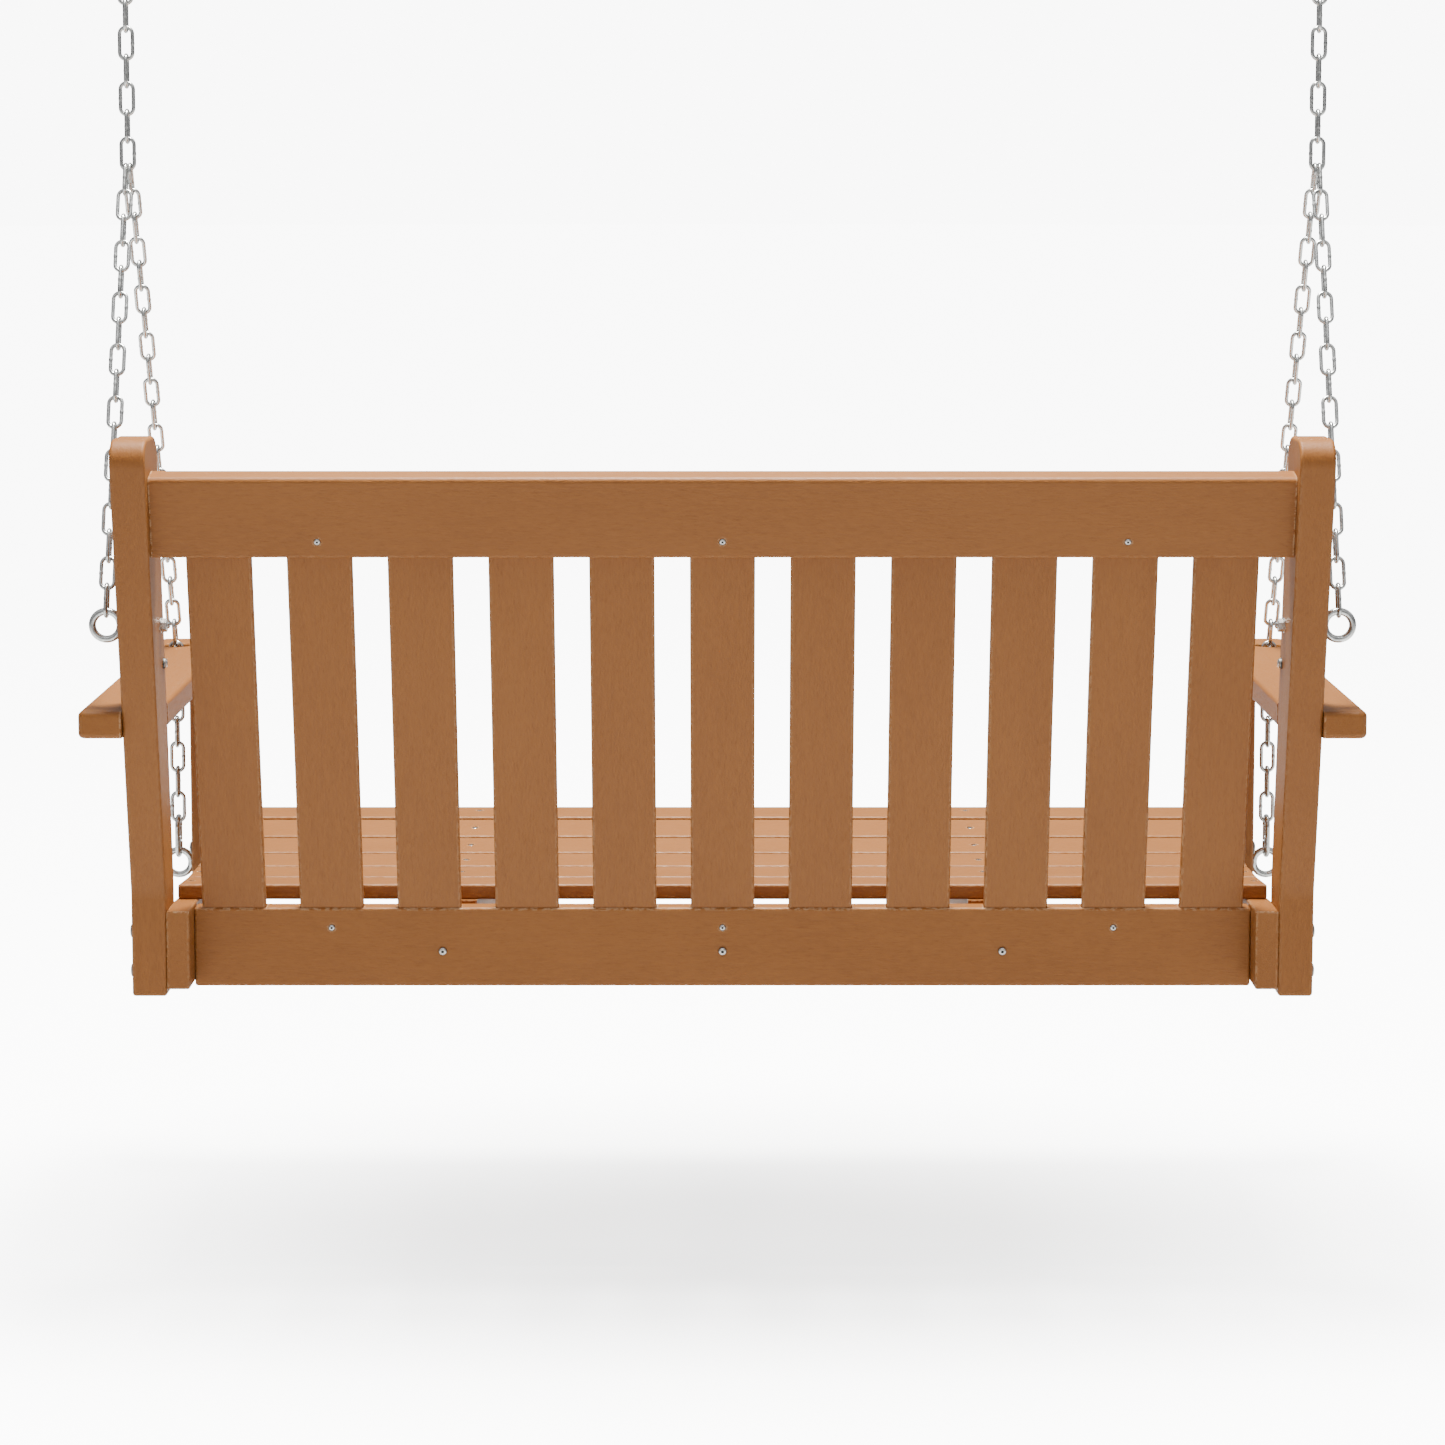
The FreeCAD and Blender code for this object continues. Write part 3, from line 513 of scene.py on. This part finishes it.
def washers():
    """Flat rings with their outer rims eased."""
    stock = Stock()
    for points in shells("washers"):
        low, high = points.min(axis=0), points.max(axis=0)
        thick, radius = high[0] - low[0], (high[2] - low[2]) / 2
        place = (low + high) / 2
        place[0] = low[0]
        hole, ease = 4.2 * MM, 0.3 * MM
        rows = [(0.0, hole, 0), (0.0, radius - ease, 0), (ease, radius, 0),
                (thick - ease, radius, 0), (thick, radius - ease, 0), (thick, hole, 0)]
        stock.add(turned(rows, place, X, Y, 40), True)
    stock.piece("rolled_washers", "seat", "stainless", "stainless", "washers")


def fastener_rows(length, head, head_height, shank, socket, socket_sides, pitch):
    """From the tip: a point, a ringed shank, the head's flat underside, its rounded rim, and
    a socket sunk into the crown. Also each row's painted shade, dark under the head, at its
    rim and in the socket, and none on the crown alone."""
    body = length - head_height
    rows = [(0.0, shank * 0.15, 0), (shank * 1.4, shank * 0.9, 0)]
    rows += thread(shank * 1.5, body * 0.8, shank, pitch, shank * 0.22)
    rows += [(body * 0.82, shank * 0.9, 0), (body, shank * 0.9, 0), (body, head * 0.97, 0),
             (body + head_height * 0.12, head, 0)]
    turn = np.linspace(0.15, 1.0, 6) * QUARTER
    shoulder = socket / math.cos(math.pi / socket_sides) * 1.12
    crown = [(body + head_height * (0.2 + 0.8 * math.sin(t)),
              shoulder + (head - shoulder) * math.cos(t), 0) for t in turn]
    well = [(length - head_height * 0.04, socket, socket_sides),
            (length - head_height * 0.60, socket * 0.94, socket_sides)]
    # painted shade: dark under the head and round its rim, and deep in the socket
    shade_and_dirt = [0.95] * len(rows) + [0.95, 0.60] + [0.0] * (len(crown) - 3) + [0.1, 0.8, 1.0]
    return rows + crown + well, shade_and_dirt


def fasteners(node, name, socket_sides, domed):
    """Screws or bolts on the places and axes of the node's own solids."""
    stock = Stock()
    for points in shells(node):
        middle, (axis, start, _), (length, _, _) = lie(points)
        along = (points - middle) @ axis
        away = np.linalg.norm((points - middle) - along[:, None] * axis, axis=1)
        head = away.max()
        if along[away > head * 0.98].mean() < 0:
            axis = -axis
            along = -along
        shank = away[along < 0].max()
        head_height = length / 2 - along[away > head * 0.98].min()
        rows, shade_and_dirt = fastener_rows(length, head, head_height, shank,
                                    head * (0.34 if domed else 0.30), socket_sides,
                                    BOLT_PITCH if domed else SCREW_PITCH)
        stock.add(turned(rows, middle - axis * length / 2, axis, start, 24), False, shade_and_dirt)
    stock.piece(name, "seat", "stainless", "stainless", node)


nuts()
washers()
fasteners("frame_bolts", "domed_frame_bolts", 6, True)
fasteners("cap_bolts", "domed_leg_bolts", 6, True)
for group in ("top_rail", "bottom_rail", "support", "seat", "arm_and_rail"):
    fasteners(group + "_screws", "pan_head_%s_screws" % group, 4, False)


# ---------------------------------------------------------------- floor, light and camera
FLOOR_DROP = 0.33           # from the lowest point of the hung seat to the floor
FLOOR_GLOW = 9.0            # lifts the floor to white where it is looked at, lights nothing
ROOM_BESIDE = 0.15
ROOM_ABOVE = 0.65
ROOM_SEEN = 9.0             # what is seen of the room past the floor
low, high = cad_box


def pale_floor(floor_height):
    """A wide round floor, fine rings near the middle and coarse ones far out. Its glow is
    weaker in an oval under the seat, which deepens the soft shadow there."""
    radius = np.geomspace(0.5, 60.0, 24)
    angle = around(48)
    rings = radius[:, None, None] * np.stack([np.cos(angle), np.sin(angle)], -1)
    points = np.zeros((len(radius), len(angle), 3))
    points[..., :2] = rings
    points[..., 2] = floor_height
    middle = len(radius) * len(angle)
    faces = grid_faces(len(radius), len(angle), False).tolist()
    faces += [[(turn + 1) % len(angle), turn, middle][::-1] for turn in range(len(angle))]
    mesh = bpy.data.meshes.new("floor")
    mesh.from_pydata(points.reshape(-1, 3).tolist() + [(0.0, 0.0, floor_height)], [], faces)
    floor = bpy.data.objects.new("floor", mesh)
    bpy.context.scene.collection.objects.link(floor)
    made = Maker("pale_floor")
    cloud = made.noise(made.place(stretch=(0.8, 0.8, 0.8)), 2.0, 0.5)
    colour = made.blend(cloud, (0.76, 0.76, 0.76), (0.79, 0.79, 0.79))
    mesh.materials.append(made.finish(colour, cloud * 0.05 + 0.85, cloud, 0.0001))
    shader = made.tree.nodes["Principled BSDF"]
    under = made.node("ShaderNodeVectorMath", dict(operation="LENGTH"),
                      made.place(stretch=(1.1, 1.9, 0.0)), out=1)
    seen = made.node("ShaderNodeLightPath") * (under.between(0.2, 1.5) * 0.7 + 0.3)
    made.tree.links.new(seen.socket, shader.inputs["Emission Color"])
    shader.inputs["Emission Strength"].default_value = FLOOR_GLOW


pale_floor(low.z - FLOOR_DROP)


def soft_light(name, place, size, power, colour=(1.0, 1.0, 1.0), glossy=True):
    """A rectangular lamp that faces the middle of the seat."""
    lamp = bpy.data.lights.new(name, "AREA")
    lamp.color = colour
    lamp.shape = "RECTANGLE"
    lamp.size, lamp.size_y = size
    lamp.energy = power
    holder = bpy.data.objects.new(name, lamp)
    holder.location = place
    facing = Vector((0.0, 0.0, low.z + 0.3)) - Vector(place)
    holder.rotation_euler = facing.to_track_quat("-Z", "Y").to_euler()
    holder.visible_glossy = glossy
    bpy.context.scene.collection.objects.link(holder)


soft_light("overhead", (0.0, -0.1, 2.6), (1.0, 0.8), 510.0, (0.98, 0.98, 0.93))
soft_light("rear_top", (0.0, 1.9, 2.3), (3.6, 0.35), 16.0)
soft_light("rear_fill", (0.0, 4.6, 0.6), (1.2, 1.6), 6.0)
# no sheen along the boards from the front
soft_light("front_fill", (0.0, -4.2, 1.4), (2.4, 2.2), 60.0, glossy=False)

world = bpy.data.worlds.new("studio")
world.use_nodes = True
air = world.node_tree.nodes["Background"]
air.inputs["Color"].default_value = (1.0, 1.0, 1.0, 1.0)
sky = Maker("sky", world.node_tree)
direction = sky.node("ShaderNodeTexCoord")
height = sky.node("ShaderNodeSeparateXYZ", None, direction, out=2)
room = height.between(-0.1, 0.75) * (ROOM_ABOVE - ROOM_BESIDE) + ROOM_BESIDE
seen = sky.node("ShaderNodeLightPath")
strength = room * (1.0 - seen) + seen * ROOM_SEEN
sky.tree.links.new(strength.socket, air.inputs["Strength"])
bpy.context.scene.world = world

lens = bpy.data.cameras.new("camera")
lens.lens = 91.4
lens.sensor_width = 36.0
lens.shift_y = -0.15
camera = bpy.data.objects.new("camera", lens)
camera.location = (0.0, 4.159, -0.276)
camera.rotation_euler = (math.pi / 2 - math.radians(5.51), 0.0, math.pi)
bpy.context.scene.collection.objects.link(camera)
bpy.context.scene.camera = camera
